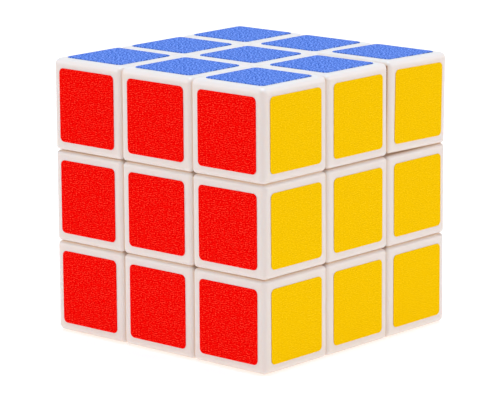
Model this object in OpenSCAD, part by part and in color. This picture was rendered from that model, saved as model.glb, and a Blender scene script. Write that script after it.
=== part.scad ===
// Three-layer twisty puzzle cube, built as a working mechanism.
//
// Millimetres, origin at the centre of the cube, +Z up.
// Faces: up = +Z, down = -Z, front = -Y, back = +Y, right = +X, left = -X.
//
// A six-armed core sits in the middle. Each arm carries a centre piece, held by a screw and a spring.
// Edge feet hook under the centre pieces, and corner feet hook under the edge pieces. Every surface
// that slides is a flat plane square to an axis or a sphere around the origin, so each layer turns.
// Every piece is modelled once, on the +Z side, and turned into its place.

/* [Cube] */
// Width of the cube across the plastic, mm
cube_w = 57; // [50:0.5:60]
// Gap between two neighbouring squares, mm
gap = 0.14; // [0.1:0.02:0.5]
// Rounding of the edges on the outside of the cube, mm
edge_round = 1.3; // [0.8:0.1:1.6]
// Rounding of the edges beside the gaps, mm
seam_round = 0.9; // [0.4:0.1:1.3]
// Wall thickness of the outer shells, more than the rounding of the edges, mm
shell_wall = 1.7; // [1.7:0.1:2.5]
// Wall thickness of the inner mouldings, mm
inner_wall = 1.3; // [1:0.1:2]

/* [Stickers] */
// Side of one sticker, mm
sticker_w = 15.2; // [14:0.1:17]
// Corner radius of one sticker, mm
sticker_round = 1.0; // [0.5:0.1:3]
// Thickness of the vinyl, mm
sticker_t = 0.15; // [0.1:0.05:0.5]

/* [Mechanism] */
// Radius of the sphere that the feet slide under, mm
track_r = 20; // [19:0.25:21]
// Radius of the hollow around the core, mm
hollow_r = 13.5; // [12:0.25:15]
// Half the width of the channel between the feet of opposite layers, mm
stem_half = 6; // [5:0.25:7]
// Radius of the ball in the middle of the core, mm
core_ball_r = 7.5; // [6:0.25:8]
// Radius of a core arm, mm
arm_r = 3.5; // [3:0.1:4]
// Length of a core arm from the origin, mm
arm_len = 11; // [10:0.25:12]
// Radial clearance between a core arm and its centre piece, mm
journal_clear = 0.05; // [0.02:0.01:0.1]
// Radial clearance between a peg and its socket, mm
peg_clear = 0.04; // [0.02:0.01:0.1]
// Radius of a corner or edge peg, mm
peg_r = 2; // [1.5:0.1:2.5]

/* [Screws and springs] */
// Radius of the screw shank, mm
screw_r = 1.25; // [1:0.05:1.5]
// Radius of the screw head, mm
head_r = 3.5; // [3:0.1:4]
// Height of the screw head, mm
head_h = 2; // [1.5:0.1:2.5]
// Floor thickness under the spring, mm
floor_t = 1.8; // [1.2:0.1:2.5]
// Length of the fitted spring, mm
spring_len = 5; // [4:0.25:6]
// Mean radius of the spring coil, mm
coil_r = 3; // [2.5:0.1:3.5]
// Radius of the spring wire, mm
wire_r = 0.25; // [0.2:0.05:0.4]

/* [Hidden] */
half = cube_w / 2;
pitch = cube_w / 3;
layer = pitch / 2;
clear = gap / 2;
// Slip fit between two mouldings that are pressed together
slip = 0.03;
// How far joined shapes run into each other
overlap = 0.5;
// Longer than anything in the cube
big = 200;

// Steps around balls, around large cylinders and around small ones
ball_steps = 64;
round_steps = 48;
hole_steps = 32;

// Spheres on each side of the sliding track, and the neck that joins a foot to its moulding across it
foot_top_r = track_r - clear;
shell_cut_r = track_r + clear;
neck_bottom_r = track_r - 2;
neck_top_r = shell_cut_r + 0.5;

// Heights along a core arm
stem_bottom = arm_len - 2.5;
floor_z = arm_len + 0.2;
spring_z = floor_z + floor_t;
head_z = spring_z + spring_len;
head_top = head_z + head_h;
cap_z = half - 2;
stem_top = cap_z - 2;
well_r = head_r + 0.7;

// The screw: how deep its hole and its shank go into the arm, its tip, its bevelled head, its slots
// and the play around it in the centre piece
bore_depth = 7;
screw_depth = 6;
tip_len = 0.8;
bevel_h = 0.6;
bevel_w = 0.9;
slot_len = 3.8;
slot_w = 0.8;
slot_depth = 1.2;
screw_clear = 0.25;

// The skirt that holds a cap in its centre piece, and its play on each side
skirt_clear = 0.04;
skirt_depth = 2.5;
skirt_wall = 1.2;
cap_recess = 0.4;

// The pegs point along a cube diagonal in a corner, and half-way between two faces in an edge
corner_slope = acos(1 / sqrt(3));
corner_heading = 45;
corner_peg_end = neck_top_r + 12;
edge_slope = 45;
edge_heading = 90;
edge_peg_end = neck_top_r + 9;
peg_start = track_r - 1;

// The socket that takes a peg, and the boss around it
socket_len = 8;
socket_spare = 0.3;
boss_r = peg_r + 1.5;
boss_len = 6;
boss_inset = 4;

body_white = [0.93, 0.92, 0.90];
inner_white = [0.86, 0.86, 0.84];
steel = [0.72, 0.73, 0.75];
blue = [0.30, 0.48, 0.88];
red = [0.86, 0.08, 0.05];
yellow = [0.96, 0.76, 0.04];
green = [0.08, 0.55, 0.25];
orange = [0.95, 0.42, 0.06];
black = [0.07, 0.07, 0.08];

// Turns that carry a piece from the +Z face to each face
up_face = [0, 0, 0];
down_face = [180, 0, 0];
front_face = [90, 0, 0];
right_face = [90, 0, 90];
back_face = [90, 0, 180];
left_face = [90, 0, 270];
all_faces = [up_face, down_face, front_face, right_face, back_face, left_face];

// Rectangle from lo to hi. Its corner at hi is rounded by far_r and the other three by r.
module rounded_rectangle(lo, hi, r, far_r) {
    polygon([
        [lo[0], lo[1] + r],
        [lo[0] + r, lo[1]],
        [hi[0] - r, lo[1]],
        [hi[0], lo[1] + r],
        [hi[0], hi[1] - far_r],
        [hi[0] - far_r, hi[1]],
        [lo[0] + r, hi[1]],
        [lo[0], hi[1] - r]
    ]);
    for (near = [[lo[0] + r, lo[1] + r], [hi[0] - r, lo[1] + r], [lo[0] + r, hi[1] - r]])
        translate(near)
            circle(r, $fn = round_steps);
    translate([hi[0] - far_r, hi[1] - far_r])
        circle(far_r, $fn = round_steps);
}

// Box from lo to hi. far_rounds has the rounding of the three edges that run along X, Y and Z
// at the far side, next to hi. All the other edges lie beside a gap.
module rounded_box(lo, hi, far_rounds) {
    intersection() {
        translate([lo[0], 0, 0])
            rotate([90, 0, 90])
                linear_extrude(hi[0] - lo[0])
                    rounded_rectangle([lo[1], lo[2]], [hi[1], hi[2]], seam_round, far_rounds[0]);
        translate([0, hi[1], 0])
            rotate([90, 0, 0])
                linear_extrude(hi[1] - lo[1])
                    rounded_rectangle([lo[0], lo[2]], [hi[0], hi[2]], seam_round, far_rounds[1]);
        translate([0, 0, lo[2]])
            linear_extrude(hi[2] - lo[2])
                rounded_rectangle([lo[0], lo[1]], [hi[0], hi[1]], seam_round, far_rounds[2]);
    }
}

// Plain box from lo to hi
module box(lo, hi) {
    translate(lo)
        cube(hi - lo);
}

// Solid ball around the origin
module ball(r) {
    sphere(r, $fn = ball_steps);
}

// Cylinder along the line that leans by slope from +Z, turned by heading around Z
module spoke(r, from, to, slope, heading) {
    rotate([0, slope, heading])
        translate([0, 0, from])
            cylinder(h = to - from, r = r, $fn = round_steps);
}

// ---------------------------------------------------------------- core, screws and springs

// Ball with six arms, each with a hole for a screw
module core() {
    color(inner_white)
    difference() {
        union() {
            ball(core_ball_r);
            for (face = all_faces)
                rotate(face)
                    cylinder(h = arm_len, r = arm_r, $fn = round_steps);
        }
        for (face = all_faces)
            rotate(face)
                translate([0, 0, arm_len - bore_depth])
                    cylinder(h = bore_depth + overlap, r = screw_r, $fn = hole_steps);
    }
}

// Pan-head screw with a cross recess, driven into the core arm
module screw() {
    shank_bottom = arm_len - screw_depth;
    difference() {
        union() {
            translate([0, 0, shank_bottom])
                cylinder(h = head_z - shank_bottom + overlap, r = screw_r, $fn = hole_steps);
            translate([0, 0, shank_bottom - tip_len])
                cylinder(h = tip_len, r1 = screw_r - tip_len, r2 = screw_r, $fn = hole_steps);
            translate([0, 0, head_z])
                cylinder(h = head_h - bevel_h, r = head_r, $fn = round_steps);
            translate([0, 0, head_top - bevel_h])
                cylinder(h = bevel_h, r1 = head_r, r2 = head_r - bevel_w, $fn = round_steps);
        }
        for (turn = [0, 90])
            rotate([0, 0, turn])
                translate([-slot_len / 2, -slot_w / 2, head_top - slot_depth])
                    cube([slot_len, slot_w, slot_depth + overlap]);
    }
}

// All six screws, one in each arm
module screws() {
    color(steel)
    for (face = all_faces)
        rotate(face)
            screw();
}

// The spring wire makes one flat turn at each end and open turns between them
flat_pitch = 2 * wire_r + 0.06;
open_turns = 3.5;
open_pitch = (spring_len - 2 * wire_r - 2 * flat_pitch) / open_turns;
all_turns = open_turns + 2;
coil_steps = 16;
wire_sides = 6;

function coil_height(turn) =
    turn < 1 ? wire_r + flat_pitch * turn
    : turn < 1 + open_turns ? wire_r + flat_pitch + open_pitch * (turn - 1)
    : wire_r + flat_pitch + open_pitch * open_turns + flat_pitch * (turn - 1 - open_turns);

function coil_point(step, side) =
    let (
        angle = 360 * step / coil_steps,
        round = 360 * side / wire_sides,
        reach = coil_r + wire_r * cos(round)
    )
    [
        reach * cos(angle),
        reach * sin(angle),
        coil_height(step / coil_steps) + wire_r * sin(round)
    ];

// Round wire wound into a compression spring along +Z, standing on z = 0
module coil() {
    last = floor(all_turns * coil_steps);
    points = [
        for (step = [0 : last], side = [0 : wire_sides - 1])
            coil_point(step, side)
    ];
    skin = [
        for (step = [0 : last - 1], side = [0 : wire_sides - 1])
            let (
                next = (side + 1) % wire_sides,
                here = step * wire_sides,
                there = here + wire_sides
            )
            [here + side, here + next, there + next, there + side]
    ];
    start_cap = [[for (side = [wire_sides - 1 : -1 : 0]) side]];
    end_cap = [[for (side = [0 : wire_sides - 1]) last * wire_sides + side]];
    polyhedron(points, concat(skin, start_cap, end_cap), convexity = 8);
}

// Spring around one screw, between the floor of the centre piece and the screw head
module spring(face) {
    color(steel)
    rotate(face)
        translate([0, 0, spring_z])
            coil();
}

// ---------------------------------------------------------------- centre pieces

// Square block of a centre piece, from under the track sphere up to the face
module centre_block() {
    reach = layer - clear;
    rounded_box([-reach, -reach, layer], [reach, reach, half], [seam_round, seam_round, seam_round]);
}

// Open box on a square stem. The stem's bore runs on a core arm, and the well above it takes the
// spring and the screw head.
module centre_body(face) {
    stem = stem_half - clear;
    recess = layer - clear - inner_wall;
    color(body_white)
    rotate(face)
        difference() {
            union() {
                difference() {
                    intersection() {
                        centre_block();
                        box([-layer, -layer, layer], [layer, layer, cap_z]);
                    }
                    ball(shell_cut_r);
                }
                intersection() {
                    box([-stem, -stem, stem_bottom], [stem, stem, stem_top]);
                    ball(shell_cut_r + 1);
                }
            }
            difference() {
                box([-recess, -recess, layer], [recess, recess, half]);
                ball(shell_cut_r + inner_wall);
            }
            translate([0, 0, spring_z])
                cylinder(h = half, r = well_r, $fn = round_steps);
            translate([0, 0, stem_bottom - 1])
                cylinder(h = floor_z - stem_bottom + 1, r = arm_r + journal_clear, $fn = round_steps);
            cylinder(h = half, r = screw_r + screw_clear, $fn = hole_steps);
        }
}

// Square lid with a skirt that fits inside the centre body
module centre_cap(face) {
    skirt = layer - clear - inner_wall - skirt_clear;
    inside = skirt - skirt_wall;
    color(body_white)
    rotate(face)
        difference() {
            union() {
                intersection() {
                    centre_block();
                    box([-layer, -layer, cap_z], [layer, layer, half]);
                }
                box([-skirt, -skirt, cap_z - skirt_depth], [skirt, skirt, cap_z + overlap]);
            }
            box([-inside, -inside, layer], [inside, inside, cap_z + cap_recess]);
        }
}

// ---------------------------------------------------------------- edge pieces

// Edge piece behind the top edge: an outer shell that is open towards the core, and an inner
// moulding that closes it and carries the foot. A peg on the moulding fits a socket in the shell.
module edge_piece() {
    side = layer - clear;
    low = layer + clear;
    inside = half - shell_wall;
    toe = stem_half + clear;
    foot = stem_half - clear;

    color(body_white)
    difference() {
        rounded_box([-side, low, low], [side, half, half], [edge_round, seam_round, seam_round]);
        difference() {
            box([-side + shell_wall, 0, 0], [side - shell_wall, inside, inside]);
            intersection() {
                box([-side, low + boss_inset, low + boss_inset], [side, half, half]);
                spoke(boss_r, edge_peg_end - boss_len, big, edge_slope, edge_heading);
            }
        }
        ball(shell_cut_r);
        spoke(
            peg_r + peg_clear,
            edge_peg_end - socket_len,
            edge_peg_end + socket_spare,
            edge_slope,
            edge_heading
        );
    }

    color(inner_white) {
        plate = side - shell_wall - slip;
        far = inside - slip;
        union() {
            difference() {
                box([-plate, low, low], [plate, far, far]);
                difference() {
                    box([-big, low + inner_wall, low + inner_wall], [big, big, big]);
                    ball(shell_cut_r + inner_wall);
                }
                ball(shell_cut_r);
            }
            difference() {
                intersection() {
                    box([-foot, toe, toe], [foot, half, half]);
                    ball(foot_top_r);
                }
                ball(hollow_r);
            }
            difference() {
                intersection() {
                    box([-foot, low, low], [foot, half, half]);
                    ball(neck_top_r);
                }
                ball(neck_bottom_r);
            }
            spoke(peg_r, peg_start, edge_peg_end, edge_slope, edge_heading);
        }
    }
}

// Edge pieces around the upper layer, the lower layer and the middle layer
module upper_edge(turn) {
    rotate([0, 0, turn])
        edge_piece();
}

module lower_edge(turn) {
    rotate([0, 0, turn])
        rotate([180, 0, 0])
            edge_piece();
}

module middle_edge(turn) {
    rotate([0, 0, turn])
        rotate([0, 90, 0])
            edge_piece();
}

// ---------------------------------------------------------------- corner pieces

// Corner piece at +X +Y +Z, made of two mouldings like an edge piece
module corner_piece() {
    low = layer + clear;
    inside = half - shell_wall;
    toe = stem_half + clear;

    color(body_white)
    difference() {
        rounded_box([low, low, low], [half, half, half], [edge_round, edge_round, edge_round]);
        difference() {
            box([0, 0, 0], [inside, inside, inside]);
            intersection() {
                box([low + boss_inset, low + boss_inset, low + boss_inset], [half, half, half]);
                spoke(boss_r, corner_peg_end - boss_len, big, corner_slope, corner_heading);
            }
        }
        ball(shell_cut_r);
        spoke(
            peg_r + peg_clear,
            corner_peg_end - socket_len,
            corner_peg_end + socket_spare,
            corner_slope,
            corner_heading
        );
    }

    color(inner_white) {
        far = inside - slip;
        union() {
            difference() {
                box([low, low, low], [far, far, far]);
                difference() {
                    box([low + inner_wall, low + inner_wall, low + inner_wall], [big, big, big]);
                    ball(shell_cut_r + inner_wall);
                }
                ball(shell_cut_r);
            }
            difference() {
                intersection() {
                    box([toe, toe, toe], [half, half, half]);
                    ball(foot_top_r);
                }
                ball(hollow_r);
            }
            difference() {
                intersection() {
                    box([low, low, low], [half, half, half]);
                    ball(neck_top_r);
                }
                ball(neck_bottom_r);
            }
            spoke(peg_r, peg_start, corner_peg_end, corner_slope, corner_heading);
        }
    }
}

// Corner pieces of the upper layer and the lower layer
module upper_corner(turn) {
    rotate([0, 0, turn])
        corner_piece();
}

module lower_corner(turn) {
    rotate([0, 0, turn])
        rotate([180, 0, 0])
            corner_piece();
}

// ---------------------------------------------------------------- stickers

// One square of vinyl lying on the +Z face, at column and row counted from the middle
module sticker(column, row) {
    side = sticker_w / 2;
    translate([column * pitch, row * pitch, half])
        linear_extrude(sticker_t)
            rounded_rectangle([-side, -side], [side, side], sticker_round, sticker_round);
}

// The eight squares around the middle of a whole face
module sticker_ring(face, paint) {
    color(paint)
    rotate(face)
        for (column = [-1 : 1], row = [-1 : 1])
            if (column != 0 || row != 0)
                sticker(column, row);
}

// Three squares along one row of a side face
module sticker_row(face, row, paint) {
    color(paint)
    rotate(face)
        for (column = [-1 : 1])
            sticker(column, row);
}

// The two squares beside the middle of a side face
module sticker_pair(face, paint) {
    color(paint)
    rotate(face)
        for (column = [-1, 1])
            sticker(column, 0);
}

// The square in the middle of a face
module sticker_middle(face, paint) {
    color(paint)
    rotate(face)
        sticker(0, 0);
}

// ---------------------------------------------------------------- nodes

core();
screws();
spring(up_face);  // spring_up
spring(down_face);  // spring_down
spring(front_face);  // spring_front
spring(right_face);  // spring_right
spring(back_face);  // spring_back
spring(left_face);  // spring_left
centre_body(up_face);  // centre_up
centre_body(down_face);  // centre_down
centre_body(front_face);  // centre_front
centre_body(right_face);  // centre_right
centre_body(back_face);  // centre_back
centre_body(left_face);  // centre_left
centre_cap(up_face);  // centre_cap_up
centre_cap(down_face);  // centre_cap_down
centre_cap(front_face);  // centre_cap_front
centre_cap(right_face);  // centre_cap_right
centre_cap(back_face);  // centre_cap_back
centre_cap(left_face);  // centre_cap_left
upper_edge(0);  // edge_up_back
upper_edge(90);  // edge_up_left
upper_edge(180);  // edge_up_front
upper_edge(270);  // edge_up_right
lower_edge(0);  // edge_down_front
lower_edge(90);  // edge_down_right
lower_edge(180);  // edge_down_back
lower_edge(270);  // edge_down_left
middle_edge(0);  // edge_back_right
middle_edge(90);  // edge_back_left
middle_edge(180);  // edge_front_left
middle_edge(270);  // edge_front_right
upper_corner(0);  // corner_up_back_right
upper_corner(90);  // corner_up_back_left
upper_corner(180);  // corner_up_front_left
upper_corner(270);  // corner_up_front_right
lower_corner(0);  // corner_down_front_right
lower_corner(90);  // corner_down_back_right
lower_corner(180);  // corner_down_back_left
lower_corner(270);  // corner_down_front_left
sticker_ring(up_face, blue);  // stickers_up
sticker_row(front_face, 1, red);  // stickers_upper_front
sticker_row(right_face, 1, yellow);  // stickers_upper_right
sticker_row(back_face, 1, orange);  // stickers_upper_back
sticker_row(left_face, 1, black);  // stickers_upper_left
sticker_pair(front_face, red);  // stickers_middle_front
sticker_pair(right_face, yellow);  // stickers_middle_right
sticker_pair(back_face, orange);  // stickers_middle_back
sticker_pair(left_face, black);  // stickers_middle_left
sticker_row(front_face, -1, red);  // stickers_lower_front
sticker_row(right_face, -1, yellow);  // stickers_lower_right
sticker_row(back_face, -1, orange);  // stickers_lower_back
sticker_row(left_face, -1, black);  // stickers_lower_left
sticker_ring(down_face, green);  // stickers_down
sticker_middle(up_face, blue);  // sticker_centre_up
sticker_middle(down_face, green);  // sticker_centre_down
sticker_middle(front_face, red);  // sticker_centre_front
sticker_middle(right_face, yellow);  // sticker_centre_right
sticker_middle(back_face, orange);  // sticker_centre_back
sticker_middle(left_face, black);  // sticker_centre_left
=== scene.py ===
"""Looks for the three-layer twisty puzzle cube: moulded shells, vinyl stickers, screws and springs.

Shapes are built in millimetres on the +Z side of the cube, or at its +X +Y +Z corner, then scaled
to metres and turned into place. Each piece rides on the CAD body of the node it stands for.
"""

import math
import random

import bmesh
import bpy
from mathutils import Matrix, Vector


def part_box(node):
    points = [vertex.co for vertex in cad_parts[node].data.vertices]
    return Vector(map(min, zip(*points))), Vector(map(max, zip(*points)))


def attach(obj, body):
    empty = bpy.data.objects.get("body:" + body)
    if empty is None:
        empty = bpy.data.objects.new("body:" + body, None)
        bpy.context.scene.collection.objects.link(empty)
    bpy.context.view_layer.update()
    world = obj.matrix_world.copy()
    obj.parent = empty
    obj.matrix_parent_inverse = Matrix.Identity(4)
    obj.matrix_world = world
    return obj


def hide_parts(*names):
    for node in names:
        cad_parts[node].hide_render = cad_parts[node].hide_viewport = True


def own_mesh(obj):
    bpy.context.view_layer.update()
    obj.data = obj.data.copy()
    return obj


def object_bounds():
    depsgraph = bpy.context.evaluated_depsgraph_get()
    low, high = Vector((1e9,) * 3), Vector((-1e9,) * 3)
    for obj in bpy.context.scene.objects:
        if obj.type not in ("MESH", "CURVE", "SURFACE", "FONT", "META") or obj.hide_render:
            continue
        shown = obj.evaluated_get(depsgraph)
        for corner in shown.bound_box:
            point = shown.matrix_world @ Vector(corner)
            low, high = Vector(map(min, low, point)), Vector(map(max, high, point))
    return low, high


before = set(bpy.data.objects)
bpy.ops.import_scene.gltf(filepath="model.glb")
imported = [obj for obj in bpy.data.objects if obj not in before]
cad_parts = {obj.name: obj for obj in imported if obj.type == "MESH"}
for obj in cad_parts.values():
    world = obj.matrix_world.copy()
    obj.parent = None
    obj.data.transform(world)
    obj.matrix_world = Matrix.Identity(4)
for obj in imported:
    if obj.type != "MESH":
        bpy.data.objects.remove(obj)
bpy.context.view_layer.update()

MM = 0.001
SCALE = Matrix.Scale(MM, 4)

# ------------------------------------------------------------------ sizes, in millimetres

# The outside and the gaps come from the CAD nodes. LAYER is the middle of the gap between two
# layers, SIDE and LOW are the faces on its two sides, and STEM is the middle of the gap between the
# stem of a centre piece and the foot of an edge piece.
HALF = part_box("corner_up_back_right")[1].x / MM
PITCH = 2 * HALF / 3
LAYER = PITCH / 2
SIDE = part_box("centre_up")[1].x / MM
CLEAR = LAYER - SIDE
LOW = LAYER + CLEAR
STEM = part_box("edge_up_back")[0].y / MM - CLEAR
VINYL_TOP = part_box("sticker_centre_up")[1].z / MM
VINYL_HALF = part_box("sticker_centre_up")[1].x / MM
CAP_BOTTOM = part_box("centre_cap_up")[0].z / MM
STEM_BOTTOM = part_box("centre_up")[0].z / MM
CAP_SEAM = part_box("centre_up")[1].z / MM
SPRING_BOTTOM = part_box("spring_up")[0].z / MM
SCREW_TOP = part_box("screws")[1].z / MM

# Rounded edges on the outside of the cube and beside the gaps, walls, and corners of the vinyl
EDGE_ROUND = 1.3
SEAM_ROUND = 0.9
ROUND_STEPS = 7
SHELL_WALL = 1.7
INNER_WALL = 1.3
SLIP = 0.03
VINYL_ROUND = 1.0

# The sphere that the feet slide under, the hollow around the core, and the neck between the two
TRACK_R = 20.0
HOLLOW_R = 13.5
NECK_BOTTOM = TRACK_R - 2
NECK_TOP = TRACK_R + 0.6
FOOT_ROUND = 0.5
SOFT_STEPS = 3

# The pegs, measured outwards from the origin, and the sockets and bosses that take them
PEG_R = 2.0
PEG_CLEAR = 0.04
PEG_START = TRACK_R - 1
CORNER_PEG_END = 32.6
EDGE_PEG_END = 29.6
SOCKET_LEN = 8.0
SOCKET_SPARE = 0.3
BOSS_R = 3.5
BOSS_LEN = 6.0
BOSS_INSET = 3.0

# The arm of the core, the well above it with the screw and the spring, and the skirt of the cap
ARM_R = 3.5
ARM_CLEAR = 0.05
WELL_R = 4.2
JOURNAL_TOP = 11.2
SCREW_R = 1.25
SCREW_CLEAR = 0.25
SCREW_BOTTOM = 4.2
HEAD_R = 3.5
HEAD_H = 2.0
SPRING_TOP = 18.0
COIL_R = 3.0
WIRE_R = 0.25
SKIRT_WALL = 1.2
SKIRT_CLEAR = 0.04
SKIRT_ROUND = 0.3
RIB_HALF = 0.4

# Farther out than anything in the cube, and how far joined shapes run into each other
BEYOND = 60.0
OVERLAP = 0.5

FACES = ("up", "down", "front", "right", "back", "left")
SIDES = ("front", "right", "back", "left")


# ------------------------------------------------------------------ turning pieces into place

def turn(x=0, y=0, z=0):
    """Turns about X, then Y, then Z, in degrees."""
    return (
        Matrix.Rotation(math.radians(z), 4, "Z")
        @ Matrix.Rotation(math.radians(y), 4, "Y")
        @ Matrix.Rotation(math.radians(x), 4, "X")
    )


FACE_TURN = {
    "up": turn(),
    "down": turn(x=180),
    "front": turn(x=90),
    "right": turn(x=90, z=90),
    "back": turn(x=90, z=180),
    "left": turn(x=90, z=270),
}

EDGE_TURN = {
    "up_back": turn(),
    "up_left": turn(z=90),
    "up_front": turn(z=180),
    "up_right": turn(z=270),
    "down_front": turn(x=180),
    "down_right": turn(x=180, z=90),
    "down_back": turn(x=180, z=180),
    "down_left": turn(x=180, z=270),
    "back_right": turn(y=90),
    "back_left": turn(y=90, z=90),
    "front_left": turn(y=90, z=180),
    "front_right": turn(y=90, z=270),
}
CORNER_TURN = {
    "up_back_right": turn(),
    "up_back_left": turn(z=90),
    "up_front_left": turn(z=180),
    "up_front_right": turn(z=270),
    "down_front_right": turn(x=180),
    "down_back_right": turn(x=180, z=90),
    "down_back_left": turn(x=180, z=180),
    "down_front_left": turn(x=180, z=270),
}


def layer_of(name):
    """The body that carries an edge or corner piece."""
    if name.startswith("up"):
        return "upper_layer"
    if name.startswith("down"):
        return "lower_layer"
    return "middle_layer"


# Small squares never sit perfectly true: each one leans and shifts a little within its clearance
LEAN_DEG = 0.14
SHIFT = 0.03
SEED = 7
draw = random.Random(SEED)
settled = {}
for ix in (-1, 0, 1):
    for iy in (-1, 0, 1):
        for iz in (-1, 0, 1):
            middle = Vector((ix, iy, iz)) * PITCH
            lean = turn(*[draw.uniform(-LEAN_DEG, LEAN_DEG) for _ in range(3)])
            shift = Vector([draw.uniform(-SHIFT, SHIFT) for _ in range(3)])
            settled[ix, iy, iz] = (
                Matrix.Translation(middle + shift) @ lean @ Matrix.Translation(-middle)
            )

# The corner at +X +Y +Z leans away from its neighbour, so a narrow wedge stands open between them
SPLIT_CORNER = "up_back_right"
SPLIT_DEG = 1.15
HEEL_INSET = 5.0
heel = Vector((HALF, HALF - HEEL_INSET, LOW))
settled[1, 1, 1] = Matrix.Translation(heel) @ turn(x=-SPLIT_DEG) @ Matrix.Translation(-heel)


def settle(place):
    """The small lean and shift of the square at this place, given as a vector in squares."""
    return settled[tuple(int(round(v)) for v in place)]


# ------------------------------------------------------------------ mesh tools

# A point this close to an outer face lies on it, and points this close to each other are one
ON_FACE = 0.01
SAME_POINT = 0.0005
# A bevel with this profile is round
ROUND_PROFILE = 0.5


def mesh_object(bm, name):
    """A new object that holds this bmesh."""
    mesh = bpy.data.meshes.new(name)
    bm.to_mesh(mesh)
    bm.free()
    made = bpy.data.objects.new(name, mesh)
    bpy.context.scene.collection.objects.link(made)
    return made


def box(low, high, radius=0.0, segments=SOFT_STEPS):
    """Box between two corners, with all its edges rounded if a radius is given."""
    low, high = Vector(low), Vector(high)
    size = high - low
    bm = bmesh.new()
    bmesh.ops.create_cube(bm, size=1)
    bmesh.ops.scale(bm, vec=size, verts=bm.verts)
    bmesh.ops.translate(bm, vec=(low + high) / 2, verts=bm.verts)
    if radius:
        bmesh.ops.bevel(
            bm,
            geom=list(bm.edges),
            offset=radius,
            segments=segments,
            profile=ROUND_PROFILE,
            affect="EDGES",
        )
    return mesh_object(bm, "box")


def block(low, high):
    """Box of a small square. Edges on the cube's outside are rounder than those beside a gap."""
    solid = box(low, high)
    bm = bmesh.new()
    bm.from_mesh(solid.data)
    weight = bm.edges.layers.float.new("bevel_weight_edge")
    for edge in bm.edges:
        middle = (edge.verts[0].co + edge.verts[1].co) / 2
        on_outer_faces = sum(abs(v - HALF) < ON_FACE for v in middle)
        edge[weight] = 1.0 if on_outer_faces == 2 else SEAM_ROUND / EDGE_ROUND
    bm.to_mesh(solid.data)
    bm.free()
    rounding = solid.modifiers.new("rounding", "BEVEL")
    rounding.limit_method = "WEIGHT"
    rounding.width = EDGE_ROUND
    rounding.segments = ROUND_STEPS
    bake_modifiers(solid)
    return solid


def bake_modifiers(solid):
    """Turns an object's modifiers into its own mesh."""
    bpy.context.view_layer.update()
    graph = bpy.context.evaluated_depsgraph_get()
    mesh = bpy.data.meshes.new_from_object(solid.evaluated_get(graph))
    solid.modifiers.clear()
    solid.data = mesh


def ball(radius):
    """Solid ball around the origin."""
    bm = bmesh.new()
    bmesh.ops.create_uvsphere(bm, u_segments=96, v_segments=48, radius=radius)
    return mesh_object(bm, "ball")


def rod(radius, start, end, along=(0, 0, 1), top_radius=None, sides=48):
    """Solid cylinder or cone along a line through the origin, from start to end."""
    bm = bmesh.new()
    bmesh.ops.create_cone(
        bm,
        cap_ends=True,
        segments=sides,
        radius1=radius,
        radius2=radius if top_radius is None else top_radius,
        depth=end - start,
    )
    bmesh.ops.translate(bm, vec=(0, 0, (start + end) / 2), verts=bm.verts)
    aim = Vector(along).to_track_quat("Z", "Y").to_matrix().to_4x4()
    bmesh.ops.transform(bm, matrix=aim, verts=bm.verts)
    return mesh_object(bm, "rod")


def combine(first, second, operation):
    """Boolean of two solids. The second one is used up."""
    modifier = first.modifiers.new("combine", "BOOLEAN")
    modifier.operation = operation
    modifier.solver = "EXACT"
    modifier.object = second
    bake_modifiers(first)
    bpy.data.objects.remove(second)
    return first


def cut(body, *tools):
    """Takes each tool away from the body."""
    for tool in tools:
        combine(body, tool, "DIFFERENCE")
    return body


def join(body, *others):
    """Adds the others to the body."""
    for other in others:
        combine(body, other, "UNION")
    return body


def keep_inside(body, limit):
    """Keeps only the part of the body that lies inside the limit."""
    return combine(body, limit, "INTERSECT")


def close_tube(bm, rings):
    """Skins a row of rings that all have the same number of points, and closes both ends."""
    sides = len(rings[0])
    for lower, upper in zip(rings, rings[1:]):
        for i in range(sides):
            j = (i + 1) % sides
            bm.faces.new((lower[i], lower[j], upper[j], upper[i]))
    bm.faces.new(list(reversed(rings[0])))
    bm.faces.new(rings[-1])


def soften(mesh, angle_deg=32):
    """Smooth shading, with a sharp line wherever two faces meet at more than the angle."""
    bm = bmesh.new()
    bm.from_mesh(mesh)
    bmesh.ops.remove_doubles(bm, verts=bm.verts, dist=SAME_POINT)
    bmesh.ops.recalc_face_normals(bm, faces=bm.faces)
    for face in bm.faces:
        face.smooth = True
    for edge in bm.edges:
        if len(edge.link_faces) == 2:
            edge.smooth = edge.calc_face_angle(0) < math.radians(angle_deg)
    bm.to_mesh(mesh)
    bm.free()


def master(solid):
    """Turns a finished solid into a mesh in millimetres that copies are made from."""
    soften(solid.data)
    mesh = solid.data
    bpy.data.objects.remove(solid)
    return mesh


def place(mesh, name, where, body, material, slot, nodes=(), weighted=True):
    """Puts a copy of a master mesh in the row frame, riding on its body."""
    data = mesh.copy()
    data.name = name
    data.transform(SCALE @ where)
    data.materials.clear()
    data.materials.append(material)
    piece = bpy.data.objects.new(name, data)
    bpy.context.scene.collection.objects.link(piece)
    if weighted:
        normals = piece.modifiers.new("weighted", "WEIGHTED_NORMAL")
        normals.keep_sharp = True
    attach(piece, body)
    if nodes:
        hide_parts(*nodes)
    return piece


# ------------------------------------------------------------------ shapes of the moulded pieces

def boss(peg_end, along):
    """Round boss that stiffens the shell around a peg's socket."""
    return rod(BOSS_R, peg_end - BOSS_LEN, BEYOND, along)


def socket(peg_end, along):
    """Space of the blind hole that takes a peg."""
    return rod(PEG_R + PEG_CLEAR, peg_end - SOCKET_LEN, peg_end + SOCKET_SPARE, along)


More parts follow.
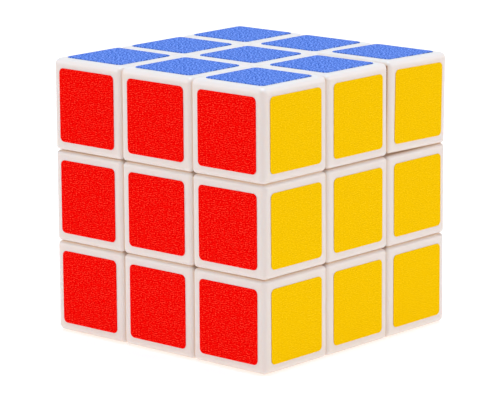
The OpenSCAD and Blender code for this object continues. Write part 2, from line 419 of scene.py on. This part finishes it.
def corner_shell():
    """Outer shell of the corner at +X +Y +Z, open towards the core, with a socket for the peg."""
    inside = HALF - SHELL_WALL
    diagonal = (1, 1, 1)
    shell = block((LOW,) * 3, (HALF,) * 3)
    cavity = box((0,) * 3, (inside,) * 3)
    boss_room = box((LOW + BOSS_INSET,) * 3, (BEYOND,) * 3)
    cut(cavity, keep_inside(boss(CORNER_PEG_END, diagonal), boss_room))
    cut(shell, cavity, ball(TRACK_R + CLEAR), socket(CORNER_PEG_END, diagonal))
    return master(shell)


def corner_foot():
    """Inner moulding of the corner: three thin walls, the foot and the peg."""
    far = HALF - SHELL_WALL - SLIP
    toe = STEM + CLEAR
    walls = box((LOW,) * 3, (far,) * 3)
    hollow = box((LOW + INNER_WALL,) * 3, (BEYOND,) * 3)
    cut(hollow, ball(TRACK_R + CLEAR + INNER_WALL))
    cut(walls, hollow, ball(TRACK_R + CLEAR))
    foot = box((toe,) * 3, (HALF,) * 3, FOOT_ROUND)
    cut(keep_inside(foot, ball(TRACK_R - CLEAR)), ball(HOLLOW_R))
    neck = box((LOW,) * 3, (HALF,) * 3)
    cut(keep_inside(neck, ball(NECK_TOP)), ball(NECK_BOTTOM))
    join(walls, neck, foot, rod(PEG_R, PEG_START, CORNER_PEG_END, (1, 1, 1)))
    return master(walls)


def edge_shell():
    """Outer shell of the edge at +Y +Z, open towards the core, with a socket for the peg."""
    inside = HALF - SHELL_WALL
    diagonal = (0, 1, 1)
    shell = block((-SIDE, LOW, LOW), (SIDE, HALF, HALF))
    cavity = box((-SIDE + SHELL_WALL, 0, 0), (SIDE - SHELL_WALL, inside, inside))
    boss_low = LOW + BOSS_INSET
    boss_room = box((-SIDE, boss_low, boss_low), (SIDE, BEYOND, BEYOND))
    cut(cavity, keep_inside(boss(EDGE_PEG_END, diagonal), boss_room))
    cut(shell, cavity, ball(TRACK_R + CLEAR), socket(EDGE_PEG_END, diagonal))
    return master(shell)


def edge_foot():
    """Inner moulding of the edge: two thin walls, the foot and the peg."""
    far = HALF - SHELL_WALL - SLIP
    wide = SIDE - SHELL_WALL - SLIP
    foot_half = STEM - CLEAR
    toe = STEM + CLEAR
    inner = LOW + INNER_WALL
    walls = box((-wide, LOW, LOW), (wide, far, far))
    hollow = box((-BEYOND, inner, inner), (BEYOND, BEYOND, BEYOND))
    cut(hollow, ball(TRACK_R + CLEAR + INNER_WALL))
    cut(walls, hollow, ball(TRACK_R + CLEAR))
    foot = box((-foot_half, toe, toe), (foot_half, HALF, HALF), FOOT_ROUND)
    cut(keep_inside(foot, ball(TRACK_R - CLEAR)), ball(HOLLOW_R))
    neck = box((-foot_half, LOW, LOW), (foot_half, HALF, HALF))
    cut(keep_inside(neck, ball(NECK_TOP)), ball(NECK_BOTTOM))
    join(walls, neck, foot, rod(PEG_R, PEG_START, EDGE_PEG_END, (0, 1, 1)))
    return master(walls)


def centre_body():
    """Open box on a square stem, with the journal bore below and the spring's well above."""
    recess = SIDE - INNER_WALL
    stem_half = STEM - CLEAR
    base = block((-SIDE, -SIDE, LAYER), (SIDE, SIDE, HALF))
    keep_inside(base, box((-LAYER, -LAYER, LAYER), (LAYER, LAYER, CAP_SEAM)))
    cut(base, ball(TRACK_R + CLEAR))
    stem = box((-stem_half, -stem_half, STEM_BOTTOM), (stem_half, stem_half, HALF), FOOT_ROUND)
    join(base, keep_inside(stem, ball(TRACK_R + CLEAR + 2 * OVERLAP)))
    room = box((-recess, -recess, LAYER), (recess, recess, HALF + 2 * OVERLAP), FOOT_ROUND)
    cut(room, ball(TRACK_R + CLEAR + INNER_WALL))
    well = rod(WELL_R, SPRING_BOTTOM, HALF)
    journal = rod(ARM_R + ARM_CLEAR, STEM_BOTTOM - 2 * OVERLAP, JOURNAL_TOP)
    screw_way = rod(SCREW_R + SCREW_CLEAR, SCREW_BOTTOM, HALF)
    cut(base, room, well, journal, screw_way)
    return master(base)


def centre_cap():
    """Square lid with a skirt that fits inside the centre body."""
    skirt = SIDE - INNER_WALL - SKIRT_CLEAR
    inside = skirt - SKIRT_WALL
    ceiling = CAP_SEAM + 0.4
    inside_lid = CAP_SEAM + 1.2
    rib_bottom = CAP_SEAM - 0.6
    rib_end = inside + OVERLAP
    lid = block((-SIDE, -SIDE, LAYER), (SIDE, SIDE, HALF))
    keep_inside(lid, box((-LAYER, -LAYER, CAP_SEAM), (LAYER, LAYER, HALF + 2 * OVERLAP)))
    rim = box((-skirt, -skirt, CAP_BOTTOM), (skirt, skirt, inside_lid), SKIRT_ROUND)
    join(lid, rim)
    below = CAP_BOTTOM - 2 * OVERLAP
    cut(lid, box((-inside, -inside, below), (inside, inside, ceiling), SKIRT_ROUND))
    for angle in (0, 90):
        rib = box((-rib_end, -RIB_HALF, rib_bottom), (rib_end, RIB_HALF, inside_lid))
        rib.data.transform(turn(z=angle))
        join(lid, rib)
    return master(lid)


# ------------------------------------------------------------------ vinyl, screws and springs

def vinyl_outline(inset, steps=7):
    """Corner points of one sticker, pulled in by inset."""
    half = VINYL_HALF - inset
    radius = VINYL_ROUND - inset
    points = []
    for quarter, (sx, sy) in enumerate(((1, 1), (-1, 1), (-1, -1), (1, -1))):
        for step in range(steps + 1):
            angle = math.radians(90 * quarter + 90 * step / steps)
            x = sx * (half - radius) + radius * math.cos(angle)
            y = sy * (half - radius) + radius * math.sin(angle)
            points.append((x, y))
    return points


def sticker():
    """One square of vinyl on the +Z face: its cut edge is rolled over, and its top is flat."""
    bm = bmesh.new()
    grain = bm.loops.layers.uv.new("grain")
    thick = VINYL_TOP - HALF
    rolled_edge = ((0.0, 0.0), (0.0, 0.55), (0.02, 0.85), (0.06, 1.0))
    rings = []
    for inset, part_of_height in rolled_edge:
        z = HALF + thick * part_of_height
        rings.append([bm.verts.new((x, y, z)) for x, y in vinyl_outline(inset)])
    close_tube(bm, rings)
    for face in bm.faces:
        for loop in face.loops:
            loop[grain].uv = (loop.vert.co.x, loop.vert.co.y)
    made = mesh_object(bm, "sticker")
    mesh = made.data
    bpy.data.objects.remove(made)
    for polygon in mesh.polygons:
        polygon.use_smooth = len(polygon.vertices) == 4
    return mesh


def pan_head_screw():
    """Pan-head screw with a cross recess and a rolled thread on its shank."""
    slot_half, slot_reach, slot_depth, slot_round = 0.38, 1.75, 1.25, 0.08
    pit_top, pit_bottom, pit_depth = 1.15, 0.25, 1.5
    head_bottom = SCREW_TOP - HEAD_H
    profile = [
        (0.0, head_bottom),
        (HEAD_R - 0.15, head_bottom),
        (HEAD_R, head_bottom + 0.15),
        (HEAD_R, head_bottom + 0.9),
        (HEAD_R - 0.2, head_bottom + 1.35),
        (HEAD_R - 0.75, head_bottom + 1.7),
        (HEAD_R - 1.7, head_bottom + 1.92),
        (0.0, head_bottom + HEAD_H),
    ]
    head = lathe(profile, 64)
    for angle in (0, 90):
        slot_cut = box(
            (-slot_reach, -slot_half, SCREW_TOP - slot_depth),
            (slot_reach, slot_half, SCREW_TOP + 2 * OVERLAP),
            slot_round,
            2,
        )
        slot_cut.data.transform(turn(z=angle))
        cut(head, slot_cut)
    cut(head, rod(pit_bottom, SCREW_TOP - pit_depth, SCREW_TOP + 0.1, top_radius=pit_top, sides=4))
    join(head, threaded_shank(SCREW_BOTTOM, head_bottom + OVERLAP))
    return master(head)


def lathe(profile, sides):
    """Solid of revolution around Z. Its profile of radius and height starts and ends on Z."""
    bm = bmesh.new()
    rings = []
    for radius, z in profile:
        if radius == 0:
            rings.append([bm.verts.new((0, 0, z))])
            continue
        rings.append([
            bm.verts.new((radius * math.cos(a), radius * math.sin(a), z))
            for a in (2 * math.pi * i / sides for i in range(sides))
        ])
    for lower, upper in zip(rings, rings[1:]):
        for i in range(sides):
            j = (i + 1) % sides
            if len(lower) == 1:
                bm.faces.new((lower[0], upper[j], upper[i]))
            elif len(upper) == 1:
                bm.faces.new((lower[i], lower[j], upper[0]))
            else:
                bm.faces.new((lower[i], lower[j], upper[j], upper[i]))
    bmesh.ops.recalc_face_normals(bm, faces=bm.faces)
    return mesh_object(bm, "lathe")


def threaded_shank(bottom, top, pitch=0.9, depth=0.22, sides=24):
    """Solid shank whose skin winds up as a thread below the plain neck, and narrows at its tip."""
    steps_per_pitch = 6
    neck, fade_len = 12.0, 0.8
    flank = 0.32
    tip_start, tip_len = 0.35, 1.2
    skin_r = SCREW_R - 0.01
    rows = int((top - bottom) / pitch * steps_per_pitch)
    bm = bmesh.new()
    rings = []
    for row in range(rows + 1):
        z = bottom + (top - bottom) * row / rows
        ring = []
        for i in range(sides):
            angle = 2 * math.pi * i / sides
            phase = (z / pitch - i / sides) % 1.0
            crest = max(0.0, 1 - abs(phase - 0.5) / flank)
            fade = min(1.0, max(0.0, (neck - z) / fade_len))
            radius = skin_r - depth * (1 - crest) * fade
            radius *= min(1.0, tip_start + (z - bottom) / tip_len)
            ring.append(bm.verts.new((radius * math.cos(angle), radius * math.sin(angle), z)))
        rings.append(ring)
    close_tube(bm, rings)
    return mesh_object(bm, "shank")


def spring():
    """Round wire wound with a nearly closed turn at each end."""
    flat = 2 * WIRE_R + 0.06
    open_turns = 3.5
    length = SPRING_TOP - SPRING_BOTTOM
    open_pitch = (length - 2 * WIRE_R - 2 * flat) / open_turns
    turns = open_turns + 2
    steps, sides = 40, 12
    bm = bmesh.new()
    rings = []
    for step in range(int(turns * steps) + 1):
        done = step / steps
        angle = 2 * math.pi * done
        rise = flat * min(done, 1) + open_pitch * min(max(done - 1, 0), open_turns)
        rise += flat * max(done - 1 - open_turns, 0)
        out = Vector((math.cos(angle), math.sin(angle), 0))
        centre = out * COIL_R + Vector((0, 0, SPRING_BOTTOM + WIRE_R + rise))
        ring = []
        for side in range(sides):
            turned = 2 * math.pi * side / sides
            offset = out * math.cos(turned) + Vector((0, 0, math.sin(turned)))
            ring.append(bm.verts.new(centre + offset * WIRE_R))
        rings.append(ring)
    close_tube(bm, rings)
    return master(mesh_object(bm, "spring"))


# ------------------------------------------------------------------ materials

class Nodes:
    """Short calls for building one node material."""

    def __init__(self, name):
        self.material = bpy.data.materials.new(name)
        self.material.use_nodes = True
        self.tree = self.material.node_tree
        self.tree.nodes.clear()
        self.output = self.add("ShaderNodeOutputMaterial")
        self.shader = self.add("ShaderNodeBsdfPrincipled")
        self.link(self.shader.outputs["BSDF"], self.output.inputs["Surface"])

    def add(self, kind, **settings):
        """A new node of this kind, with its settings."""
        node = self.tree.nodes.new(kind)
        for key, value in settings.items():
            setattr(node, key, value)
        return node

    def link(self, source, target):
        """Joins an output to an input."""
        self.tree.links.new(source, target)

    def set(self, **values):
        """Sets inputs of the main shader. An underscore stands for a space in an input's name."""
        for key, value in values.items():
            self.shader.inputs[key.replace("_", " ")].default_value = value

    def position(self, stretch=(1, 1, 1), uv=None):
        """Coordinates in the object's own frame, or in a named UV map, stretched per axis."""
        if uv:
            source = self.add("ShaderNodeUVMap", uv_map=uv).outputs["UV"]
        else:
            source = self.add("ShaderNodeTexCoord").outputs["Object"]
        mapping = self.add("ShaderNodeMapping")
        mapping.inputs["Scale"].default_value = stretch
        self.link(source, mapping.inputs["Vector"])
        return mapping.outputs["Vector"]

    def noise(self, where, scale, detail, roughness=0.5):
        """Cloudy noise from 0 to 1, with this many grains to the unit of its coordinates."""
        node = self.add("ShaderNodeTexNoise")
        node.inputs["Scale"].default_value = scale
        node.inputs["Detail"].default_value = detail
        node.inputs["Roughness"].default_value = roughness
        self.link(where, node.inputs["Vector"])
        return node.outputs["Fac"]

    def remap(self, value, from_low, from_high, to_low=0.0, to_high=1.0):
        """Stretches one range of values onto another, and stops at its ends."""
        node = self.add("ShaderNodeMapRange")
        node.inputs["From Min"].default_value = from_low
        node.inputs["From Max"].default_value = from_high
        node.inputs["To Min"].default_value = to_low
        node.inputs["To Max"].default_value = to_high
        self.link(value, node.inputs["Value"])
        return node.outputs["Result"]

    def mix(self, factor, first, second):
        """Mixes two colours. Each is a tuple or a socket."""
        node = self.add("ShaderNodeMix", data_type="RGBA")
        colour_a, colour_b = (put for put in node.inputs if put.type == "RGBA")
        self.feed(node.inputs["Factor"], factor)
        self.feed(colour_a, first)
        self.feed(colour_b, second)
        return next(put for put in node.outputs if put.type == "RGBA")

    def math(self, operation, first, second):
        """Arithmetic on two values. Each is a number or a socket."""
        node = self.add("ShaderNodeMath", operation=operation)
        self.feed(node.inputs[0], first)
        self.feed(node.inputs[1], second)
        return node.outputs["Value"]

    def feed(self, target, value):
        """Links a socket, or sets a plain number or colour."""
        if isinstance(value, bpy.types.NodeSocket):
            self.link(value, target)
        elif isinstance(value, tuple):
            target.default_value = (*value, 1.0)
        else:
            target.default_value = value

    def bump(self, height, distance, strength):
        """Relief of the surface. A height of 1 stands the distance proud, in metres."""
        node = self.add("ShaderNodeBump")
        node.inputs["Strength"].default_value = strength
        node.inputs["Distance"].default_value = distance
        self.link(height, node.inputs["Height"])
        self.link(node.outputs["Normal"], self.shader.inputs["Normal"])


# Plastic: grains of its skin, waves and clouds to the metre, and the relief of its skin in mm
SKIN_SCALE = 2600
SKIN_SHARE = 0.25
WAVE_SCALE = 140
CLOUD_SCALE = 60
CLOUD_SHADE = 0.985
PLASTIC_RELIEF = 0.012
PLASTIC_IOR = 1.5

# How far around it a point looks for neighbours when shade is painted into gaps, in mm, and how
# much of the painted glow is left deep in a gap
GAP_REACH = 0.8
DEEP_PAINTED_GLOW = 0.45

# Vinyl: distance between two ridges and height of the relief in mm, and how the ridges wander
RIDGE_GAP = 0.42
RIDGE_WANDER = 7.0
RIDGE_DETAIL = 1.1
VINYL_RELIEF = 0.02
# Blender's wave texture makes this many radians of wave to the unit at a scale of 1
WAVE_RATE = 20


def depth_in_cube(n, where):
    """How far a point lies below the nearest face of the cube, in metres."""
    split = n.add("ShaderNodeSeparateXYZ")
    n.link(where, split.inputs["Vector"])
    x, y, z = (n.math("ABSOLUTE", split.outputs[axis], 0.0) for axis in "XYZ")
    return n.math("SUBTRACT", HALF * MM, n.math("MAXIMUM", n.math("MAXIMUM", x, y), z))


def gap_light(n, where, shade_from, deep_from, deep_to):
    """How far a point is hemmed in by its neighbours, from 0 in the open to 1 in a gap, and how
    near it is to the face, from 1 above deep_from to 0 below deep_to, in mm. These masks place the
    painted shade and the painted glow in the gaps."""
    occlusion = n.add("ShaderNodeAmbientOcclusion", samples=8)
    occlusion.inputs["Distance"].default_value = GAP_REACH * MM
    trapped = n.remap(occlusion.outputs["AO"], shade_from, shade_from + 0.5, 1.0, 0.0)
    shallow = n.remap(depth_in_cube(n, where), deep_from * MM, deep_to * MM, 1.0, 0.0)
    return trapped, shallow


def moulded_plastic(
    name,
    colour,
    painted_seam_shade,
    painted_deep_shade,
    painted_glow,
    roughness,
    shade_from=0.1,
    deep_from=0.75,
    deep_to=1.15,
):
    """Glossy moulded plastic with a faint spark-eroded skin. Narrow gaps get a painted tan shade
    and a painted glow that stand in for light soaking through the walls. Deeper in, the painted
    shade turns darker and the painted glow fades."""
    n = Nodes(name)
    where = n.position()
    cloud = n.remap(n.noise(where, CLOUD_SCALE, 4), 0.3, 0.7)
    shade = n.mix(cloud, colour, tuple(c * CLOUD_SHADE for c in colour))
    # Painted shade and painted glow in narrow gaps: ambient occlusion finds the gaps, and depth
    # below the face turns the painted tan into a darker painted shade
    trapped, shallow = gap_light(n, where, shade_from, deep_from, deep_to)
    painted_gap_shade = n.mix(shallow, painted_deep_shade, painted_seam_shade)
    n.link(n.mix(trapped, shade, painted_gap_shade), n.shader.inputs["Base Color"])
    # Emission that paints a glow into the gaps, weaker deep in a gap
    painted_glow_left = n.remap(shallow, 0.0, 1.0, DEEP_PAINTED_GLOW, 1.0)
    n.shader.inputs["Emission Color"].default_value = (*painted_glow, 1.0)
    n.link(n.math("MULTIPLY", trapped, painted_glow_left), n.shader.inputs["Emission Strength"])
    skin = n.noise(where, SKIN_SCALE, 2, 0.6)
    uneven = n.remap(skin, 0.2, 0.8, roughness - 0.05, roughness + 0.06)
    n.link(uneven, n.shader.inputs["Roughness"])
    waves = n.noise(where, WAVE_SCALE, 1)
    height = n.math("ADD", n.math("MULTIPLY", skin, SKIN_SHARE), waves)
    n.bump(height, PLASTIC_RELIEF * MM, 0.5)
    n.set(IOR=PLASTIC_IOR, Subsurface_Weight=0.3, Subsurface_Scale=1.2 * MM)
    n.shader.inputs["Subsurface Radius"].default_value = (1.0, 0.7, 0.5)
    return n.material


def grained_vinyl(name, painted_hollow_shade, colour, painted_glint, grain, ridges, sheen, painted_glints_from=0.6):
    """Embossed vinyl. Short wavy ridges run across a fine grain with the given number of grains to
    the mm. The hollows get a painted shade and the highest grains get painted glints, both in the
    base colour."""
    n = Nodes(name)
    wave = n.add("ShaderNodeTexWave", bands_direction="Y")
    wave.inputs["Scale"].default_value = 2 * math.pi / WAVE_RATE / RIDGE_GAP
    wave.inputs["Distortion"].default_value = RIDGE_WANDER
    wave.inputs["Detail"].default_value = 1.0
    wave.inputs["Detail Scale"].default_value = RIDGE_DETAIL
    n.link(n.position(uv="grain"), wave.inputs["Vector"])
    fine = n.remap(n.noise(n.position(grain, uv="grain"), 1.0, 1.0, 0.6), 0.36, 0.64)
    ridge_part = n.math("MULTIPLY", wave.outputs["Fac"], ridges)
    grain_part = n.math("MULTIPLY", fine, 1 - ridges)
    relief = n.math("ADD", ridge_part, grain_part)
    # Painted shade in the hollows of the grain and painted glints on its highest grains
    lower = n.mix(n.remap(relief, 0.1, 0.5), painted_hollow_shade, colour)
    n.link(n.mix(n.remap(relief, painted_glints_from, 0.95), lower, painted_glint), n.shader.inputs["Base Color"])
    n.link(n.remap(relief, 0.0, 1.0, 0.6, 0.42), n.shader.inputs["Roughness"])
    n.bump(relief, VINYL_RELIEF * MM, 1.0)
    n.set(IOR=PLASTIC_IOR, Specular_IOR_Level=sheen)
    return n.material


def bright_steel():
    """Zinc-plated steel with faint drawing marks."""
    n = Nodes("bright_steel")
    marks = n.noise(n.position((1, 1, 6)), 1500, 3, 0.6)
    n.link(n.mix(marks, (0.60, 0.61, 0.63), (0.78, 0.79, 0.80)), n.shader.inputs["Base Color"])
    n.link(n.remap(marks, 0.3, 0.7, 0.22, 0.4), n.shader.inputs["Roughness"])
    n.bump(marks, 0.006 * MM, 0.5)
    n.set(Metallic=1.0)
    return n.material


def studio_floor():
    """Pale light table: a white sheet that glows evenly and is clear when seen from underneath."""
    n = Nodes("studio_floor")
    fibre = n.noise(n.position(), 900, 3)
    n.link(n.mix(fibre, (0.43, 0.43, 0.43), (0.45, 0.45, 0.45)), n.shader.inputs["Base Color"])
    n.set(Roughness=0.9, IOR=1.3, Emission_Strength=0.66)
    underneath = n.add("ShaderNodeNewGeometry").outputs["Backfacing"]
    n.link(n.math("SUBTRACT", 1.0, underneath), n.shader.inputs["Alpha"])
    n.shader.inputs["Emission Color"].default_value = (1.0, 0.95, 0.92, 1.0)
    return n.material


WHITE_COLOUR = (0.79, 0.70, 0.655)
# The white plastic: a painted tan shade and a warm painted glow in narrow gaps, and a painted
# dark-brown shade deeper in
WHITE = moulded_plastic(
    "white_abs",
    WHITE_COLOUR,
    painted_seam_shade=(0.62, 0.49, 0.39),
    painted_deep_shade=(0.45, 0.25, 0.12),
    painted_glow=(0.27, 0.205, 0.15),
    roughness=0.34,
)
# A copy of the white plastic for the split corner only: its open wedge gets a steeper painted
# dark-brown shade and a faint orange painted glow
SPLIT_WHITE = moulded_plastic(
    "white_abs_split",
    WHITE_COLOUR,
    painted_seam_shade=(0.72, 0.61, 0.48),
    painted_deep_shade=(0.28, 0.09, 0.004),
    painted_glow=(0.13, 0.05, 0.0),
    roughness=0.34,
    shade_from=0.5,
    deep_from=0.58,
    deep_to=0.72,
)
# The core: a painted grey-tan shade where it is hemmed in, darker deeper in, and no painted glow
CORE = moulded_plastic(
    "core_abs",
    (0.72, 0.70, 0.68),
    painted_seam_shade=(0.50, 0.42, 0.34),
    painted_deep_shade=(0.42, 0.34, 0.26),
    painted_glow=(0.0, 0.0, 0.0),
    roughness=0.45,
)
STEEL = bright_steel()

# Grains to the mm across and along a sticker, and how strongly its ridges show. The blue vinyl has
# an even grain and no ridges.
ALONG = (2.6, 5.0, 1)
EVEN = (2.6, 2.4, 1)
RIDGED = 0.35
SMOOTH = 0.0
# Each vinyl: painted hollow shade, middle colour and painted glint colour, grain, ridges, sheen,
# and where its painted glints start
VINYL_LOOKS = {
    "blue": (
        (0.001, 0.055, 0.35), (0.047, 0.157, 0.57), (0.21, 0.335, 0.80), EVEN, SMOOTH, 0.04, 0.5
    ),
    "red": (
        (0.72, 0.0001, 0.0001), (0.90, 0.0006, 0.0002), (1.06, 0.05, 0.027), ALONG, RIDGED, 0.001
    ),
    "yellow": (
        (0.83, 0.47, 0.0001), (0.92, 0.55, 0.0001), (0.99, 0.63, 0.014), ALONG, RIDGED, 0.001
    ),
    "green": (
        (0.006, 0.20, 0.04), (0.01, 0.27, 0.06), (0.03, 0.36, 0.10), ALONG, RIDGED, 0.03
    ),
    "orange": (
        (0.78, 0.13, 0.001), (0.95, 0.20, 0.003), (1.1, 0.28, 0.02), ALONG, RIDGED, 0.02
    ),
    "black": (
        (0.007, 0.007, 0.008), (0.012, 0.012, 0.013), (0.028, 0.028, 0.03), ALONG, RIDGED, 0.1
    ),
}
VINYL = {colour: grained_vinyl("vinyl_" + colour, *look) for colour, look in VINYL_LOOKS.items()}
FACE_COLOUR = {
    "up": "blue",
    "down": "green",
    "front": "red",
    "right": "yellow",
    "back": "orange",
    "left": "black",
}


# ------------------------------------------------------------------ putting the pieces in place


def place_edges():
    """Twelve edge pieces, each a settled shell and its foot."""
    shell, foot = edge_shell(), edge_foot()
    for name, where in EDGE_TURN.items():
        leaning = settle(where @ Vector((0, 1, 1))) @ where
        node = "edge_" + name
        body = layer_of(name)
        place(shell, "edge_shell_" + name, leaning, body, WHITE, "white_plastic", [node])
        place(foot, "edge_foot_" + name, where, body, WHITE, "white_plastic", [node])


def place_corners():
    """Eight corner pieces, each a settled shell and its foot."""
    shell, foot = corner_shell(), corner_foot()
    for name, where in CORNER_TURN.items():
        leaning = settle(where @ Vector((1, 1, 1))) @ where
        node = "corner_" + name
        body = layer_of(name)
        # The split corner's shell takes the copy of the white plastic with the dark painted shade
        # and painted glow in its wedge
        material = SPLIT_WHITE if name == SPLIT_CORNER else WHITE
        place(shell, "corner_shell_" + name, leaning, body, material, "white_plastic", [node])
        place(foot, "corner_foot_" + name, where, body, WHITE, "white_plastic", [node])


def place_centres():
    """Six centre pieces and their caps. These sit true."""
    box_mesh, lid_mesh = centre_body(), centre_cap()
    for face, where in FACE_TURN.items():
        boxed, lidded = "centre_" + face, "centre_cap_" + face
        body, cap = "centre_piece_" + face, "cap_" + face
        place(box_mesh, "centre_box_" + face, where, body, WHITE, "white_plastic", [boxed])
        place(lid_mesh, "centre_lid_" + face, where, cap, WHITE, "white_plastic", [lidded])


def place_hardware():
    """A screw and a spring on each arm."""
    screw_mesh, coil_mesh = pan_head_screw(), spring()
    for face, where in FACE_TURN.items():
        place(screw_mesh, "screw_" + face, where, "middle_layer", STEEL, "steel", ["screws"])
        node = "spring_" + face
        coil = place(
            coil_mesh, "coil_" + face, where, "middle_layer", STEEL, "steel", [node], weighted=False
        )
        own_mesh(coil)


def place_vinyl(square, name, face, cells, body):
    """Joins the stickers of one CAD node, each lying on its own square."""
    bm = bmesh.new()
    where = FACE_TURN[face]
    for column, row in cells:
        on_centre = (column, row) == (0, 0)
        lean = Matrix.Identity(4) if on_centre else settle(where @ Vector((column, row, 1)))
        shift = Matrix.Translation((column * PITCH, row * PITCH, 0))
        part = square.copy()
        part.transform(SCALE @ lean @ where @ shift)
        bm.from_mesh(part)
        bpy.data.meshes.remove(part)
    colour = FACE_COLOUR[face]
    data = bpy.data.meshes.new("vinyl_" + name)
    bm.to_mesh(data)
    bm.free()
    data.materials.append(VINYL[colour])
    piece = bpy.data.objects.new("vinyl_" + name, data)
    bpy.context.scene.collection.objects.link(piece)
    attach(piece, body)
    return piece


def place_stickers():
    """All the stickers, grouped as the CAD nodes are."""
    square = sticker()
    around = [(x, y) for x in (-1, 0, 1) for y in (-1, 0, 1) if (x, y) != (0, 0)]
    for face, body in (("up", "upper_layer"), ("down", "lower_layer")):
        piece = place_vinyl(square, face, face, around, body)
        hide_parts("stickers_" + face)
    for face in SIDES:
        for band, row, columns in (
            ("upper", 1, (-1, 0, 1)),
            ("middle", 0, (-1, 1)),
            ("lower", -1, (-1, 0, 1)),
        ):
            cells = [(column, row) for column in columns]
            piece = place_vinyl(square, band + "_" + face, face, cells, band + "_layer")
            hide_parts("stickers_" + band + "_" + face)
    for face in FACES:
        piece = place_vinyl(square, "centre_" + face, face, [(0, 0)], "cap_" + face)
        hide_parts("sticker_centre_" + face)


place_edges()
place_corners()
place_centres()
place_hardware()
place_stickers()
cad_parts["core"].data.materials.clear()
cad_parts["core"].data.materials.append(CORE)


# ------------------------------------------------------------------ studio, in metres

# The floor: flat out to its reach, then curving up to its wall height
FLOOR_REACH = 2.2
FLOOR_WALL = 0.9
FLOOR_SIDES = 64
FLAT_RINGS = 6
CURVE_RINGS = 8
FLOOR_GAP = 0.01 * MM

# The camera: a long lens a little above the front right edge of the cube
LENS_MM = 211.3
SENSOR_MM = 36
CAMERA_PLACE = Vector((0.39283, -0.44313, 0.12538))
CAMERA_FORWARD = Vector((-0.6489, 0.7313, -0.2101))
CAMERA_RIGHT = Vector((0.7488, 0.6627, -0.0062))
NEAREST = 0.02
FARTHEST = 20

# The light: warm from all round, and three lamps, each with its place, size, watts and colour
SKY_COLOUR = (1.0, 0.92, 0.88, 1.0)
SKY_STRENGTH = 0.45
WHITE_LIGHT = (1, 1, 1)
COOL_LIGHT = (0.84, 1.14, 1.40)
LAMPS = {
    "above": ((0.0, 0.0, 1.3), 0.9, 12.5, COOL_LIGHT),
    "left": ((-0.95, -0.80, 0.45), 0.7, 3.0, WHITE_LIGHT),
    "right": ((0.90, 0.85, 0.45), 0.7, 3.0, WHITE_LIGHT),
}


def build_floor():
    """A wide sheet just under the cube that curves up behind it on every side."""
    bm = bmesh.new()
    lowest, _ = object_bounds()
    ground = lowest.z - FLOOR_GAP
    profile = [(FLOOR_REACH * step / FLAT_RINGS, ground) for step in range(1, FLAT_RINGS + 1)]
    for step in range(1, CURVE_RINGS + 1):
        angle = math.radians(90 * step / CURVE_RINGS)
        x = FLOOR_REACH + FLOOR_WALL * math.sin(angle)
        profile.append((x, ground + FLOOR_WALL * (1 - math.cos(angle))))
    rings = []
    for radius, z in profile:
        rings.append([
            bm.verts.new((radius * math.cos(a), radius * math.sin(a), z))
            for a in (2 * math.pi * i / FLOOR_SIDES for i in range(FLOOR_SIDES))
        ])
    bm.faces.new(rings[0])
    for inner, outer in zip(rings, rings[1:]):
        for i in range(FLOOR_SIDES):
            j = (i + 1) % FLOOR_SIDES
            bm.faces.new((inner[i], outer[i], outer[j], inner[j]))
    for face in bm.faces:
        face.smooth = True
    floor = mesh_object(bm, "studio_floor")
    floor.data.materials.append(studio_floor())


def area_light(name, position, size, power, colour):
    """Round soft lamp that points at the origin. Its size is in metres and its power in watts."""
    data = bpy.data.lights.new(name, "AREA")
    data.shape = "DISK"
    data.size = size
    data.energy = power
    data.color = colour
    lamp = bpy.data.objects.new(name, data)
    bpy.context.scene.collection.objects.link(lamp)
    lamp.location = position
    lamp.rotation_mode = "QUATERNION"
    lamp.rotation_quaternion = (-Vector(position)).to_track_quat("-Z", "Y")


def build_lights():
    """Soft warm light from all round, a cool lamp above and a broad lamp on each side."""
    world = bpy.data.worlds.new("studio")
    world.use_nodes = True
    sky = world.node_tree.nodes["Background"]
    sky.inputs["Color"].default_value = SKY_COLOUR
    sky.inputs["Strength"].default_value = SKY_STRENGTH
    bpy.context.scene.world = world
    for name, look in LAMPS.items():
        area_light(name, *look)


def build_camera():
    """Sets up the camera from its lens, its place and its two directions."""
    data = bpy.data.cameras.new("camera")
    data.sensor_width = SENSOR_MM
    data.lens = LENS_MM
    data.clip_start = NEAREST
    data.clip_end = FARTHEST
    camera = bpy.data.objects.new("camera", data)
    bpy.context.scene.collection.objects.link(camera)
    forward = CAMERA_FORWARD.normalized()
    right = CAMERA_RIGHT.normalized()
    up = right.cross(forward)
    spin = Matrix((right, up, -forward)).transposed()
    camera.matrix_world = Matrix.Translation(CAMERA_PLACE) @ spin.to_4x4()
    bpy.context.scene.camera = camera


build_floor()
build_lights()
build_camera()
bpy.context.scene.view_settings.view_transform = "Standard"
